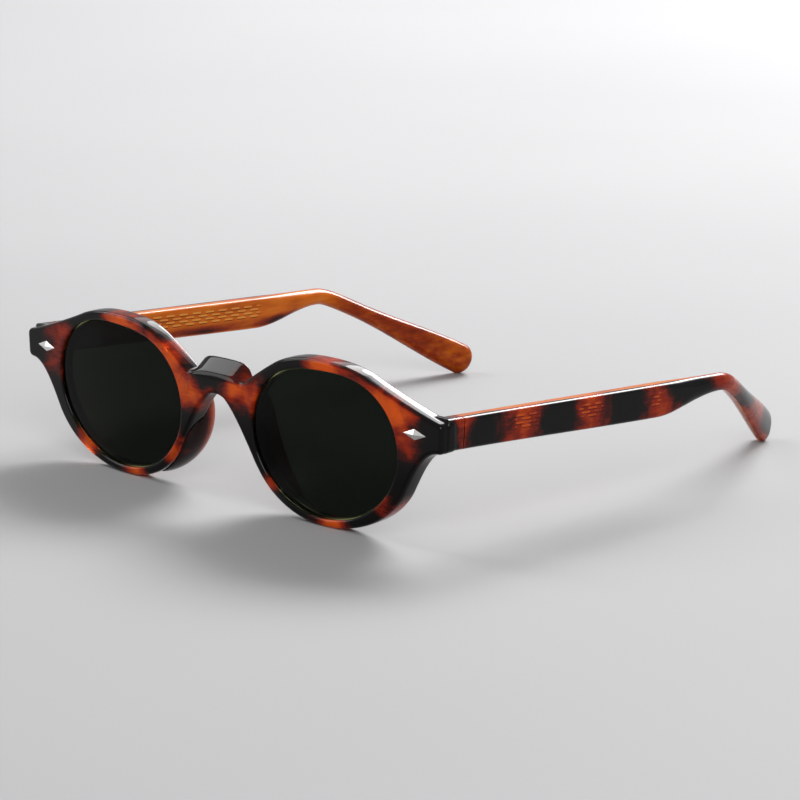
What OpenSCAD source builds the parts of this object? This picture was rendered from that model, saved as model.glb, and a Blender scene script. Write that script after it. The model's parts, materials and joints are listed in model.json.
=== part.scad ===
// Oval-eye acetate sunglasses, open and standing on a table.
// The front faces -Y, the temples run back along +Y, and +X is the wearer's left.
// A grooved rim, cut from one sheet with its bridge and end pieces, holds two bevelled lenses.
// Each temple is laminated over a flat wire core and turns on a five-knuckle hinge.

/* [Lens openings] */
// Width of each lens opening
lens_w = 44; // [40:0.5:48]
// Height of each lens opening
lens_h = 34.3; // [31:0.1:38]
// Gap between the two openings at the bridge
lens_gap = 24; // [21:0.5:27]
// Lean of the oval, raised at the temple side, as a share of its radius
lens_lean = 0.015; // [0:0.005:0.03]
// Fullness of the lower half, as a share of the radius
lens_egg = 0.023; // [0:0.001:0.03]
// Thickness of a lens
lens_t = 1.8; // [1.5:0.1:2]
// Height of the lens crown at its middle
lens_crown = 0.8; // [0.2:0.1:1]
// Clearance of the lens in its groove
lens_fit = 0.02; // [0.01:0.01:0.05]

/* [Rim] */
// Width of an end piece, from the lens opening to its outer face
end_w = 13; // [12:0.1:15]
// Thickness of the front
front_t = 4.6; // [4.2:0.1:5.2]
// Width of the rim under the lens
rim_w = 1.8; // [1.7:0.1:2.6]
// Extra width along the brow
brow_extra = 0.7; // [0.2:0.1:1.2]
// Extra width at the temple side
side_extra = 2.2; // [1.4:0.1:2.6]
// Extra width at the nose side
nasal_extra = 0.4; // [0:0.1:0.8]
// Rounding of the outer edges
edge_r = 0.8; // [0.6:0.1:1]
// Crown of the outer wall between its edges
rim_crown = 0.3; // [0.1:0.1:0.5]
// Rounding of the opening's edges
lip_r = 0.45; // [0.3:0.05:0.6]
// Depth of the lens groove in the rim
groove_d = 0.8; // [0.6:0.1:1]
// Depth of the groove's middle behind the front face
groove_y = 1.6; // [1.5:0.1:2]
// How far the end pieces sweep back from the bridge
face_form = 2.8; // [1:0.1:5]

/* [Bridge] */
// Height of the arch under the bridge, above the middle of the lens
arch_z = 6; // [5:0.1:7]
// Height of the bridge bar in the notches, above the middle of the lens
notch_z = 9.8; // [9:0.1:10.4]
// Half width of the bridge bar to the bottom of a notch
notch_x = 9.2; // [8.4:0.1:9.6]
// Rise of the saddle above the bar, at its back edge
saddle_rise = 3.6; // [3:0.1:4]
// Rise of the saddle above the bar, at its front edge
saddle_lip = 0.9; // [0.4:0.1:1.4]
// Half width of the saddle's flat top
saddle_x = 7.2; // [6:0.1:7.4]
// Rounding of the saddle's shoulders
saddle_r = 1.3; // [0.8:0.1:1.5]
// Rounding of the saddle's front and back edges
saddle_soft = 0.5; // [0.3:0.1:0.6]

/* [End pieces] */
// Height of the end piece and of the temple where they meet
end_h = 6.4; // [5.8:0.1:6.6]
// Height of the end piece's middle above the middle of the lens
end_z = 6.1; // [5.5:0.1:6.6]
// Rise of the front's corner above the temple
end_rise = 0.7; // [0.2:0.1:1]
// Distance from the bridge's front face back to the joint
joint_y = 10; // [9.4:0.1:11]
// Rounding of the end piece's two corners, seen from the front
end_r = 1.4; // [1.3:0.1:1.8]
// Gap between the end piece and the temple
joint_gap = 0.1; // [0.05:0.01:0.2]

/* [Nose pads] */
// Width of a nose pad across its ridge
pad_w = 5.4; // [4.6:0.2:6]
// Height of a nose pad behind the rim
pad_h = 4.6; // [3:0.1:5]
// Distance that a nose pad keeps from the lens opening
pad_clear = 0.3; // [0.1:0.1:0.6]
// Depth to which a nose pad's base is let into the rim
pad_sink = 0.8; // [0.5:0.1:1]
// Angle round the opening where a pad starts, near the bridge
pad_from = 163; // [158:1:168]
// Angle round the opening where a pad ends, under the lens
pad_to = 242; // [232:1:248]

/* [Temples] */
// Length of a temple from its joint to the end of its tip
temple_l = 129.5; // [122:0.5:136]
// Thickness of a temple
temple_t = 4.2; // [3.8:0.1:4.6]
// Thickness of the outer layer
outer_t = 1.5; // [1.2:0.1:1.7]
// Distance from the joint to the deepest place of the blade
belly_y = 65; // [58:1:68]
// Height of the blade there
belly_h = 7.3; // [6.8:0.1:7.6]
// Distance from the joint to the neck, where the tip starts to bend
neck_y = 88; // [82:1:92]
// Height of the neck
neck_h = 4.1; // [3.6:0.1:4.6]
// Rise of the neck's middle above the blade's middle
neck_rise = 1.9; // [1:0.05:2.2]
// Height of the tip at its widest
tip_h = 6.2; // [5:0.1:6.8]
// How far the tip curves in towards the head
tip_in = 16; // [8:0.5:18]
// Rounding of the blade's edges
temple_r = 0.9; // [0.6:0.1:1.2]
// Rounding of the edges behind the neck
tip_round = 1.7; // [1.2:0.1:1.9]
// Angle between the temple and a square line from the front
pantoscopic = 5.6; // [3:0.1:8]
// Lean of the front's top edge towards the viewer, standing on a table
stance = 2.8; // [1:0.1:4]

/* [Wire core] */
// Thickness of the core
core_t = 1.1; // [0.9:0.1:1.3]
// Height of the core's flat stretch
core_h = 3.4; // [2.6:0.1:3.8]
// Height of the core's rod stretch
core_rod = 1.3; // [1:0.1:1.6]
// Length of the core
core_l = 116; // [100:1:118]

/* [Hinges] */
// Radius of the knuckles
knuckle_r = 1.4; // [1.2:0.05:1.5]
// Height of one of the five knuckles
knuckle_h = 1; // [0.9:0.05:1.05]
// Gap between knuckles
knuckle_gap = 0.04; // [0.03:0.01:0.06]
// Distance between a knuckle and the temple's inner face
knuckle_out = 0.2; // [0.15:0.05:0.3]
// Radius of the hinge screw
screw_r = 0.65; // [0.5:0.05:0.7]
// Radial clearance of the screw in the knuckles
screw_fit = 0.05; // [0.02:0.01:0.08]
// Radius of the screw's head
screw_head_r = 1.15; // [1:0.05:1.2]
// Height of the screw's head
screw_head_h = 0.5; // [0.4:0.05:0.55]
// Thickness of the hinge plates
plate_t = 1; // [0.8:0.05:1.1]
// Width of the plate on the front
plate_w = 5; // [4.8:0.1:5.4]
// Length of the plate on the temple
leaf_l = 11; // [9:0.5:14]
// Depth to which the plate on the temple is sunk
leaf_sink = 0.5; // [0.3:0.05:0.6]
// Clearance of a plate in its pocket
plate_fit = 0.02; // [0.01:0.01:0.05]

/* [Rivets] */
// Distance of a rivet from the lens opening
rivet_gap = 2.2; // [1.6:0.1:2.4]
// Height of a rivet above the middle of the end piece
rivet_up = 0.6; // [0:0.1:0.8]
// Width of the diamond head
rivet_w = 6.4; // [5.6:0.1:7]
// Height of the diamond head
rivet_h = 2.5; // [2.2:0.1:3]
// How far the diamond stands out of the front
rivet_out = 0.5; // [0.3:0.05:0.7]
// Depth to which the diamond is let into the front
rivet_sink = 0.5; // [0.4:0.05:0.6]
// Radius of the rivet's shank
rivet_r = 0.6; // [0.5:0.05:0.7]
// Clearance of the shank in its hole
rivet_fit = 0.02; // [0.01:0.01:0.04]

/* [Hidden] */
$fn = 32;

tortoise = [0.42, 0.16, 0.05];
honey = [0.85, 0.48, 0.12];
amber = [0.7, 0.3, 0.08];
smoke = [0.09, 0.12, 0.09];
steel = [0.75, 0.76, 0.78];

// The lens opening, in the plane of the front, with the right-hand eye at +X
oval = (lens_w - lens_h) / (lens_w + lens_h);
eye_x = (lens_gap + lens_w) / 2;
half_w = lens_gap / 2 + lens_w + end_w;

function eye_r(a) = (lens_w + lens_h) / 4
    * (1 + oval * cos(2 * a) + lens_lean * sin(2 * a) + lens_egg * sin(3 * a));
function eye(a, r = 1) = [eye_x + r * eye_r(a) * cos(a), r * eye_r(a) * sin(a)];
function eye_along(a) = let (d = eye(a + 1) - eye(a - 1)) d / norm(d);
function eye_out(a) = let (d = eye_along(a)) [d.y, -d.x];

// The rim's outer edge where it follows the opening
function rim_at(a) = rim_w + brow_extra * pow(max(0, sin(a - 15)), 3)
    + side_extra * pow((1 + cos(a)) / 2, 5) * min(1, 1 - sin(a))
    + nasal_extra * pow((1 - cos(a)) / 2, 3);
function rim(a) = eye(a) + eye_out(a) * rim_at(a);
function form(x) = face_form * pow(x / half_w, 2);
function form_turn(x) = atan(2 * face_form * x / (half_w * half_w));

function bezier(p, t) = pow(1 - t, 3) * p[0] + 3 * t * pow(1 - t, 2) * p[1]
    + 3 * t * t * (1 - t) * p[2] + pow(t, 3) * p[3];
function smooth(t) = let (u = min(1, max(0, t))) u * u * (3 - 2 * u);
function mix(a, b, t) = a + (b - a) * t;

// Stations round one eye: the angle on the opening, then the point on the outer edge
end_top = end_z + end_h / 2 + end_rise;
end_low = end_z - end_h / 2;
brow_from = 52;
notch_from = 136;
arch_to = 206;
side_from = 342;
foot_at = 158;
bar_to = 165;
arch_from = 170;
end_at = 360;
notch_foot = [notch_x, notch_z];
brow_line = [
    [half_w - end_r, end_top], [half_w - end_w * 0.46, end_top + end_h * 0.17],
    rim(brow_from) + [end_w * 0.4, -end_w * 0.17], rim(brow_from)
];
notch_line = [
    rim(notch_from), rim(notch_from) + eye_along(notch_from) * notch_x * 0.47,
    notch_foot * 1.06, notch_foot
];
arch_line = [
    [0, arch_z], [notch_x / 2, arch_z],
    rim(arch_to) - eye_along(arch_to) * notch_x * 0.6, rim(arch_to)
];
side_line = [
    rim(side_from), rim(side_from) + eye_along(side_from) * end_w * 0.48,
    [half_w - end_w * 0.45, end_low], [half_w - end_r, end_low]
];
function corner(c, a0, a1, n) = [for (i = [0:n]) let (a = mix(a0, a1, i / n)) c + end_r * [cos(a), sin(a)]];
low_corner = corner([half_w - end_r, end_low + end_r], -90, 0, 3);
top_corner = corner([half_w - end_r, end_top - end_r], 0, 90, 3);

stations = concat(
    [for (a = [brow_from:7:notch_from]) [a, rim(a)]],
    [for (i = [1:6]) [mix(notch_from, foot_at, i / 6), bezier(notch_line, i / 6)]],
    [for (i = [1:3]) [mix(foot_at, bar_to, i / 3), [notch_x * (1 - i / 3), notch_z]]],
    [for (i = [0:8]) [mix(arch_from, arch_to, i / 8), bezier(arch_line, i / 8)]],
    [for (i = [1:18]) let (a = mix(arch_to, side_from, i / 18)) [a, rim(a)]],
    [for (i = [1:7]) [mix(side_from, end_at, i / 7), bezier(side_line, i / 7)]],
    [for (i = [1:3]) [end_at + i, low_corner[i]]],
    [for (i = [0:3]) [end_at + 6 + i, top_corner[i]]],
    [for (i = [1:5]) [mix(end_at + 9, 360 + brow_from, i / 6), bezier(brow_line, i / 6)]]
);
count = len(stations);

// The way out of the rim at a station, straight up or down on the mirror plane
function way_out(i) = let (
        p = stations[i][1],
        d = stations[(i + 1) % count][1] - stations[(i + count - 1) % count][1],
        n = [d.y, -d.x] / norm(d)
    ) p.x > 0.001 ? n : [0, p.y > (arch_z + notch_z) / 2 ? 1 : -1];

// A quarter round of an edge, as steps of [inset, depth] in shares of its radius
round_steps = [for (a = [0:30:90]) [1 - sin(a), 1 - cos(a)]];
saddle_sink = 0.15;
saddle_fall = 0.35;
groove_half = lens_t / 2 + 0.05;
function crown_in(y) = rim_crown * pow(2 * y / front_t - 1, 2);

// The section at a station, from the front lip round the groove to the outer edge
function section(i) = let (
        a = stations[i][0], p = eye(a), n = eye_out(a), q = stations[i][1], m = way_out(i),
        lip = [for (s = round_steps) [p + n * lip_r * s[0], lip_r * s[1]]],
        edge = [for (s = round_steps) let (y = edge_r * s[1]) [q - m * (edge_r * s[0] + crown_in(y)), y]],
        flat = concat(
            lip,
            [[p, groove_y - groove_half], [p + n * groove_d, groove_y], [p, groove_y + groove_half]],
            [for (k = [3:-1:0]) [lip[k][0], front_t - lip[k][1]]],
            [for (k = [0:3]) [edge[k][0], front_t - edge[k][1]]],
            [[q, front_t / 2]],
            [for (k = [3:-1:0]) edge[k]]
        )
    ) [for (f = flat) [f[0].x, f[1] + form(f[0].x), f[0].y]];

ring = len(section(0));
eye_points = [for (i = [0:count - 1]) each section(i)];
total = len(eye_points);

// Two triangles between neighbouring stations, with either diagonal
function cell(a, b, c, d, flip) = flip ? [[a, b, d], [b, c, d]] : [[a, b, c], [a, c, d]];
function on_plane(j) = eye_points[j].x < 0.001;
function left_of(j) = on_plane(j) ? j : j + total;
eye_faces = [
    for (i = [0:count - 1], m = [0:ring - 1])
        let (k = (i + 1) % count, m2 = (m + 1) % ring, a = i * ring + m, b = k * ring + m,
             c = k * ring + m2, d = i * ring + m2)
        if (!(on_plane(a) && on_plane(b) && on_plane(c) && on_plane(d)))
            each cell(d, c, b, a, false)
];

// The whole front as one closed skin: one eye, its mirror image and the shared bridge plane
module front_skin() {
    polyhedron(
        points = concat(eye_points, [for (p = eye_points) [-p.x, p.y, p.z]]),
        faces = concat(eye_faces, [for (f = eye_faces) [left_of(f[2]), left_of(f[1]), left_of(f[0])]])
    );
}

// The saddle, sloping down to the front like a bevel, with shoulders that fall away to the notches
module saddle_slice(y, rise, inset) {
    translate([0, y, 0]) rotate([90, 0, 0]) linear_extrude(0.02) offset(delta = -inset) hull()
        for (side = [-1, 1]) {
            translate([side * (saddle_x - saddle_r), notch_z + rise - saddle_r]) circle(saddle_r, $fn = 16);
            translate([side * (notch_x - saddle_r), notch_z + rise * saddle_fall - saddle_r])
                circle(saddle_r, $fn = 16);
            translate([side * (notch_x - 2 * saddle_r), arch_z + saddle_r]) square(0.1);
        }
}
module saddle() {
    slope = (saddle_rise - saddle_lip) / front_t;
    hull() for (a = [0:45:90]) {
        y = saddle_sink + saddle_soft * (1 - cos(a));
        saddle_slice(y + 0.02, saddle_lip + y * slope, saddle_soft * (1 - sin(a)));
        saddle_slice(front_t - y, saddle_rise - y * slope, saddle_soft * (1 - sin(a)));
    }
}

// The hinge's own frame: the axis is Z, the temple runs along +Y and its face is on the +X side
axis_in = knuckle_r + knuckle_out;
axis_x = half_w - temple_t - axis_in;
hinge_h = 5 * knuckle_h;
module at_hinge() {
    translate([axis_x, joint_y, end_z]) rotate([-pantoscopic, 0, 0]) children();
}
module mirrored(side) {
    if (side > 0) children();
    else mirror([1, 0, 0]) children();
}

// The end piece's block, running back to the joint
block_setback = 0.05;
module end_block() {
    at_hinge() translate([axis_in, -joint_gap / 2, 0]) rotate([90, 0, 0])
        linear_extrude(joint_y - form(half_w) - front_t / 2)
            rounded_bar(temple_t - block_setback, end_h, temple_r);
}
module rounded_bar(w, h, r) {
    for (x = [r, w - r], z = [r - h / 2, h / 2 - r]) translate([x, z]) circle(r);
    translate([0, r - h / 2]) square([w, h - 2 * r]);
    translate([r, -h / 2]) square([w - 2 * r, h]);
}

// The plate that carries the front knuckles, let into the back of the front
rivet_x = eye_x + (lens_w + rivet_w) / 2 + rivet_gap;
plate_y = form(rivet_x) + front_t - joint_y - 0.2;
module front_plate(fit = 0) {
    translate([knuckle_r - plate_w - fit, plate_y - fit, -hinge_h / 2 - fit])
        cube([plate_w + 2 * fit, plate_t + fit, hinge_h + 2 * fit]);
}

module rivet_place() {
    translate([rivet_x, form(rivet_x), end_z + rivet_up])
        rotate([0, 0, form_turn(rivet_x)]) children();
}
module rivet_shank(fit = 0) {
    rivet_place() translate([0, rivet_sink / 2, 0]) rotate([-90, 0, 0])
        cylinder(r = rivet_r + fit, h = front_t + plate_t / 2 - rivet_sink + fit);
}
// The diamond has a sloped top, cut to a raised point, and a straight-sided foot in the front
module rivet_head() {
    rivet_place() {
        polyhedron(
            points = [
                [rivet_w / 2, 0, 0], [0, 0, rivet_h / 2], [-rivet_w / 2, 0, 0], [0, 0, -rivet_h / 2],
                [0, -rivet_out, 0], [0, rivet_sink, 0], [rivet_w / 2, rivet_sink, 0],
                [0, rivet_sink, rivet_h / 2], [-rivet_w / 2, rivet_sink, 0], [0, rivet_sink, -rivet_h / 2]
            ],
            faces = [
                for (k = [0:3]) let (n = (k + 1) % 4)
                    each [[k, 4, n], [6 + k, k, 6 + n], [k, n, 6 + n], [5, 6 + k, 6 + n]]
            ]
        );
    }
}

module front_solid() {
    front_skin();
    saddle();
    for (side = [-1, 1]) mirrored(side) end_block();
}

module front_frame() {
    color(tortoise) stand() difference() {
        front_solid();
        for (side = [-1, 1]) mirrored(side) {
            at_hinge() {
                front_plate(plate_fit);
                translate([-knuckle_r - knuckle_out, plate_y + plate_t, -hinge_h / 2 - plate_fit])
                    cube([2 * knuckle_r + 2 * knuckle_out - 0.001, joint_y, hinge_h + 2 * plate_fit]);
            }
            rivet_shank(rivet_fit);
            rivet_head();
        }
    }
}

// A lens: its bevelled edge follows the groove's stations, and both faces are crowned alike
lens_rings = [1, 0.66, 0.33];
function lens_ring(y, inset, share) = [
    for (i = [0:count - 1]) let (
            a = stations[i][0], e = eye(a) + eye_out(a) * inset,
            p = mix([eye_x, 0], e, share)
        ) [p.x, y + form(p.x) - lens_crown * (1 - share * share), p.y]
];
lens_loops = concat(
    [for (k = [2:-1:0]) lens_ring(groove_y - lens_t / 2, -lens_fit, lens_rings[k])],
    [lens_ring(groove_y, groove_d - lens_fit, 1)],
    [for (k = [0:2]) lens_ring(groove_y + lens_t / 2, -lens_fit, lens_rings[k])]
);
module lens(side) {
    front_mid = [eye_x, groove_y - lens_t / 2 + form(eye_x) - lens_crown, 0];
    n = count;
    last = len(lens_loops) - 1;
    color(smoke) stand() mirrored(side) polyhedron(
        points = concat([for (l = lens_loops) each l], [front_mid, front_mid + [0, lens_t, 0]]),
        faces = concat(
            [for (i = [0:n - 1]) [(i + 1) % n, i, (last + 1) * n]],
            [for (k = [0:last - 1], i = [0:n - 1]) let (j = (i + 1) % n)
                each cell(k * n + i, k * n + j, (k + 1) * n + j, (k + 1) * n + i, false)],
            [for (i = [0:n - 1]) [last * n + i, last * n + (i + 1) % n, (last + 1) * n + 1]]
        )
    );
}

// The stretch of the rim behind a nose pad, closed at both ends and with its groove filled
bed_from = 12;
bed_to = 38;
bed_keep = [for (m = [0:ring - 1]) if (m < 4 || m > 6) m];
module pad_bed() {
    n = len(bed_keep);
    rings = [for (i = [bed_from:bed_to]) let (s = section(i)) [for (m = bed_keep) s[m]]];
    last = len(rings) - 1;
    corners = [0, 3, 4, 7, 8, 11, 13, 16];
    middles = [
        for (r = [rings[0], rings[last]]) [for (m = corners) 1] * [for (m = corners) r[m]] / len(corners)
    ];
    polyhedron(
        points = concat([for (r = rings) each r], middles),
        faces = concat(
            [for (i = [0:last - 1], m = [0:n - 1]) let (m2 = (m + 1) % n)
                each cell(i * n + m2, (i + 1) * n + m2, (i + 1) * n + m, i * n + m, false)],
            [for (m = [0:n - 1]) [(m + 1) % n, m, (last + 1) * n]],
            [for (m = [0:n - 1]) [last * n + m, last * n + (m + 1) % n, (last + 1) * n + 1]]
        )
    );
}

// A nose pad: an oval ridge along the nose side of the rim, thickest in its middle
pad_steps = 11;
pad_sides = 14;
function pad_size(t) = pow(sin(180 * mix(0.03, 0.97, pow(t, 0.7))), 0.6);
function pad_ring(t) = let (
        a = mix(pad_from, pad_to, t), k = pad_size(t), n = eye_out(a),
        p = eye(a) + n * rim_at(a) * 0.62, y = front_t - pad_sink + k
    ) [for (i = [0:pad_sides - 1]) let (
            b = i * 360 / pad_sides, q = p + n * pad_w / 2 * k * cos(b)
        ) [q.x, form(q.x) + y + pad_h * k * sin(b), q.y]];
module pad_body() {
    n = pad_sides;
    polyhedron(
        points = [for (s = [0:pad_steps]) each pad_ring(s / pad_steps)],
        faces = concat(
            [[for (i = [0:n - 1]) i]],
            [for (s = [0:pad_steps - 1], i = [0:n - 1]) let (j = (i + 1) % n)
                each cell(s * n + j, s * n + i, (s + 1) * n + i, (s + 1) * n + j, false)],
            [[for (i = [n - 1:-1:0]) pad_steps * n + i]]
        )
    );
}
module nose_pad(side) {
    color(amber) stand() mirrored(side) difference() {
        pad_body();
        pad_bed();
        sight_line();
    }
}
// The space in front of and behind the lens, which the pad leaves free
module sight_line() {
    translate([0, 30, 0]) rotate([90, 0, 0]) linear_extrude(60)
        polygon([for (a = [0:5:355]) eye(a) + eye_out(a) * pad_clear]);
}

module front_rivet(side) {
    color(steel) stand() mirrored(side) {
        rivet_head();
        rivet_shank();
    }
}

// Knuckles are counted from the top; the front has the odd ones and the temple the even ones
function knuckle_z(k) = hinge_h / 2 - (k - 0.5) * knuckle_h;
module knuckle(k, to_x, to_y) {
    h = knuckle_h - knuckle_gap;
    translate([0, 0, knuckle_z(k) - h / 2]) {
        cylinder(r = knuckle_r, h = h);
        translate([min(to_x[0], to_x[1]), min(0, to_y), 0]) cube([abs(to_x[1] - to_x[0]), abs(to_y), h]);
    }
}
module screw_hole(fit) {
    translate([0, 0, -hinge_h]) cylinder(r = screw_r + fit, h = 2 * hinge_h);
}
module front_hinge(side) {
    color(steel) stand() mirrored(side) difference() {
        at_hinge() difference() {
            union() {
                front_plate();
                for (k = [1, 3, 5]) knuckle(k, [-knuckle_r, knuckle_r], plate_y + plate_t);
            }
            screw_hole(screw_fit);
        }
        rivet_shank(rivet_fit);
    }
}
leaf_y = knuckle_r + knuckle_out;
module temple_leaf(fit = 0) {
    translate([axis_in + leaf_sink - plate_t, leaf_y - fit, -hinge_h / 2 - fit])
        cube([plate_t + fit, leaf_l + 2 * fit, hinge_h + 2 * fit]);
}
module temple_hinge(side) {
    color(steel) stand() mirrored(side) at_hinge() difference() {
        union() {
            temple_leaf();
            for (k = [2, 4]) knuckle(k, [0, knuckle_r], leaf_y);
        }
        screw_hole(screw_fit);
    }
}
module hinge_screw(side) {
    color(steel) stand() mirrored(side) at_hinge() difference() {
        union() {
            translate([0, 0, -hinge_h / 2]) cylinder(r = screw_r, h = hinge_h);
            translate([0, 0, hinge_h / 2]) cylinder(r = screw_head_r, h = screw_head_h);
        }
        translate([-knuckle_r, -0.15, hinge_h / 2 + screw_head_h / 2]) cube([2 * knuckle_r, 0.3, 1]);
    }
}

// Height of the middle of the lens above the table: the rims stand on their lowest points
rim_drop = -rim(270).y;
function under_rim(y) = (rim_drop - crown_in(y)) * cos(stance) - (y + form(eye_x)) * sin(stance);
rest_z = max(under_rim(front_t / 2), under_rim(edge_r));

// The temple's middle line, from the joint to the end of the tip, in the hinge's frame
bend = 0.11;
turn_in = 0.12;
function hyper(u, k) = (sqrt(u * u + k * k) - k) / (sqrt(1 + k * k) - k);
tip_r = tip_h / 2;
tip_y = temple_l - tip_r * 1.1;
drop_angle = pantoscopic - stance;
hinge_up = rest_z + joint_y * sin(stance) + end_z * cos(stance);
tip_z = (tip_r - hinge_up + tip_y * sin(drop_angle)) / cos(drop_angle);
function temple_mid(y) = let (
        u = max(0, (y - neck_y) / (tip_y - neck_y)),
        rise = neck_rise * smooth((y - belly_y) / (neck_y - belly_y))
    ) [
        axis_in + temple_t / 2 - tip_in * hyper(u, turn_in),
        y,
        rise + (tip_z - neck_rise) * hyper(u, bend)
    ];
function blade_h(y) = y < belly_y ? mix(end_h, belly_h, smooth(y / belly_y))
    : y < neck_y ? mix(belly_h, neck_h, smooth((y - belly_y) / (neck_y - belly_y)))
    : mix(neck_h, tip_h, smooth((y - neck_y) / (tip_y - neck_y) * 1.4 - 0.4));
function edge_round(y) = mix(temple_r, tip_round, smooth((y - belly_y) / (neck_y - belly_y)));

// Along and across the temple at a place on its middle line
function temple_along(y) = let (
        d = temple_mid(min(y, tip_y)) - temple_mid(min(y, tip_y) - 0.5)
    ) y < 1 ? [0, 1, 0] : d / norm(d);
function temple_out(y) = let (c = cross(temple_along(y), [0, 0, 1])) c / norm(c);
temple_places = concat(
    [joint_gap / 2], [for (k = [0.12, 0.25, 0.5, 0.75]) belly_y * k],
    [for (i = [0:7]) mix(belly_y * 0.92, neck_y, i / 8)],
    [for (i = [0:14]) mix(neck_y, tip_y, i / 14)]
);
tip_steps = 7;

// A place, a height, a rounding and a size for each section: the last few round off the tip both ways
temple_stops = concat(
    [for (y = temple_places)
        [temple_mid(y), temple_along(y), temple_out(y), blade_h(y), edge_round(y), 1, 1]],
    [for (i = [1:tip_steps]) let (
            b = 85 * i / tip_steps, left = tip_r * (1 - sin(b)), end = max(0, 1 - left / (temple_t / 2))
        ) [temple_mid(tip_y) + temple_along(tip_y) * tip_r * sin(b), temple_along(tip_y),
           temple_out(tip_y), tip_h, tip_round, cos(b), sqrt(1 - end * end)]]
);
function on_stop(s, x, z) = s[0] + s[2] * x + cross(s[2], s[1]) * z;
function rounded(s, from, to) = let (
        h = s[3] / 2, q = min(s[4], 0.9 * h, 0.95 * abs(to - from)),
        cut = [for (a = [0:22.5:90]) [1 - sin(a), 1 - cos(a)] * q]
    ) [for (p = concat(
            [[from, h]], [for (c = cut) [to - sign(to) * c.x, h - c.y]],
            [for (i = [4:-1:0]) [to - sign(to) * cut[i].x, cut[i].y - h]], [[from, -h]]
        )) on_stop(s, p.x * s[6], p.y * s[5])];

module swept(rings, flip) {
    n = len(rings[0]);
    last = len(rings) - 1;
    polyhedron(
        points = [for (r = rings) each r],
        faces = concat(
            [[for (i = [0:n - 1]) flip ? n - 1 - i : i]],
            [for (s = [0:last - 1], i = [0:n - 1]) let (
                    j = (i + 1) % n, a = s * n + i, b = s * n + j, c = (s + 1) * n + j, d = (s + 1) * n + i
                ) each flip ? [[a, b, c], [a, c, d]] : [[b, a, d], [b, d, c]]],
            [[for (i = [0:n - 1]) last * n + (flip ? i : n - 1 - i)]]
        )
    );
}
layer_x = temple_t / 2 - outer_t;
module outer_layer() {
    swept([for (s = temple_stops) rounded(s, layer_x, temple_t / 2)], false);
}
module inner_layer() {
    swept([for (s = temple_stops) rounded(s, layer_x, -temple_t / 2)], true);
}

// The wire core: a flat bar to the belly, then a rod nearly to the tip
core_x = layer_x - 0.35 - core_t / 2;
core_places = concat(
    [joint_gap / 2 + 0.5], [for (k = [0.25, 0.5, 0.75, 1]) belly_y * k],
    [for (y = [belly_y + 4:4:core_l]) y], [core_l]
);
function core_size(y) = y < belly_y ? core_h
    : mix(core_h, core_rod, smooth((y - belly_y) / (neck_y - 4 - belly_y)));
function core_ring(y) = let (
        s = [temple_mid(y), temple_along(y), temple_out(y)], h = core_size(y) / 2, w = core_t / 2
    ) [for (p = [[w * 0.6, h], [w, h * 0.8], [w, -h * 0.8], [w * 0.6, -h], [-w * 0.6, -h],
            [-w, -h * 0.8], [-w, h * 0.8], [-w * 0.6, h]]) on_stop(s, core_x + p.x, p.y)];
module core_body() {
    swept([for (y = core_places) core_ring(y)], false);
}

module temple_outer(side) {
    color(tortoise) stand() mirrored(side) at_hinge() outer_layer();
}
module temple_inner(side) {
    color(honey) stand() mirrored(side) at_hinge() difference() {
        inner_layer();
        core_body();
        temple_leaf(plate_fit);
    }
}
module wire_core(side) {
    color(steel) stand() mirrored(side) at_hinge() core_body();
}

// The pose on a table: the rims and the tips touch it, and Y = 0 is halfway back
back_y = joint_y * cos(stance) - end_z * sin(stance) + tip_y * cos(drop_angle)
    + tip_z * sin(drop_angle) + tip_r;
front_y = (saddle_soft + saddle_sink) * cos(stance) - (notch_z + saddle_lip) * sin(stance) - saddle_soft;
module stand() {
    translate([0, -(back_y + front_y) / 2, rest_z]) rotate([stance, 0, 0]) children();
}

front_frame();
lens(1);  // left_lens
lens(-1);  // right_lens
nose_pad(1);  // left_nose_pad
nose_pad(-1);  // right_nose_pad
front_rivet(1);  // left_front_rivet
front_rivet(-1);  // right_front_rivet
front_hinge(1);  // left_front_hinge
front_hinge(-1);  // right_front_hinge
hinge_screw(1);  // left_hinge_screw
hinge_screw(-1);  // right_hinge_screw
temple_hinge(1);  // left_temple_hinge
temple_hinge(-1);  // right_temple_hinge
temple_outer(1);  // left_temple_outer
temple_outer(-1);  // right_temple_outer
temple_inner(1);  // left_temple_inner
temple_inner(-1);  // right_temple_inner
wire_core(1);  // left_wire_core
wire_core(-1);  // right_wire_core
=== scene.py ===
"""Looks of a pair of oval acetate sunglasses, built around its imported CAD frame.

Shapes are worked out in millimetres, in the front's own frame or in a hinge's, and then
carried to the row frame. The front is one skin over a signed distance field, so that its
saddle, end blocks and rims run into each other.
"""
import json
import math

import bmesh
import bpy
import numpy as np
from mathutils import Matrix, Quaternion, Vector


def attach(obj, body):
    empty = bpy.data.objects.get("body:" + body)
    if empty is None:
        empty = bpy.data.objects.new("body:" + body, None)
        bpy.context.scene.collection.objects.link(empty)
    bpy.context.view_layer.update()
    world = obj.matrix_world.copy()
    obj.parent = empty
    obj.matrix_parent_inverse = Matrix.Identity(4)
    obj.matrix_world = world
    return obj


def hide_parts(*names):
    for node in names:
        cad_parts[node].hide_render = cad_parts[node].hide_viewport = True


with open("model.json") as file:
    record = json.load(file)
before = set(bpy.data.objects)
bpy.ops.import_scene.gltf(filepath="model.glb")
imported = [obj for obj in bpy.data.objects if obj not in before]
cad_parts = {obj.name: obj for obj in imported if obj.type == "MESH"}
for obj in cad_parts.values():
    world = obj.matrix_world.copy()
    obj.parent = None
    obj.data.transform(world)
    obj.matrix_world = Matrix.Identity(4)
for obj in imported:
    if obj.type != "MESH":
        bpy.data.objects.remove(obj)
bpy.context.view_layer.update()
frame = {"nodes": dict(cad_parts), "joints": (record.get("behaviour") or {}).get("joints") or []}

MM = 0.001
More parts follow.
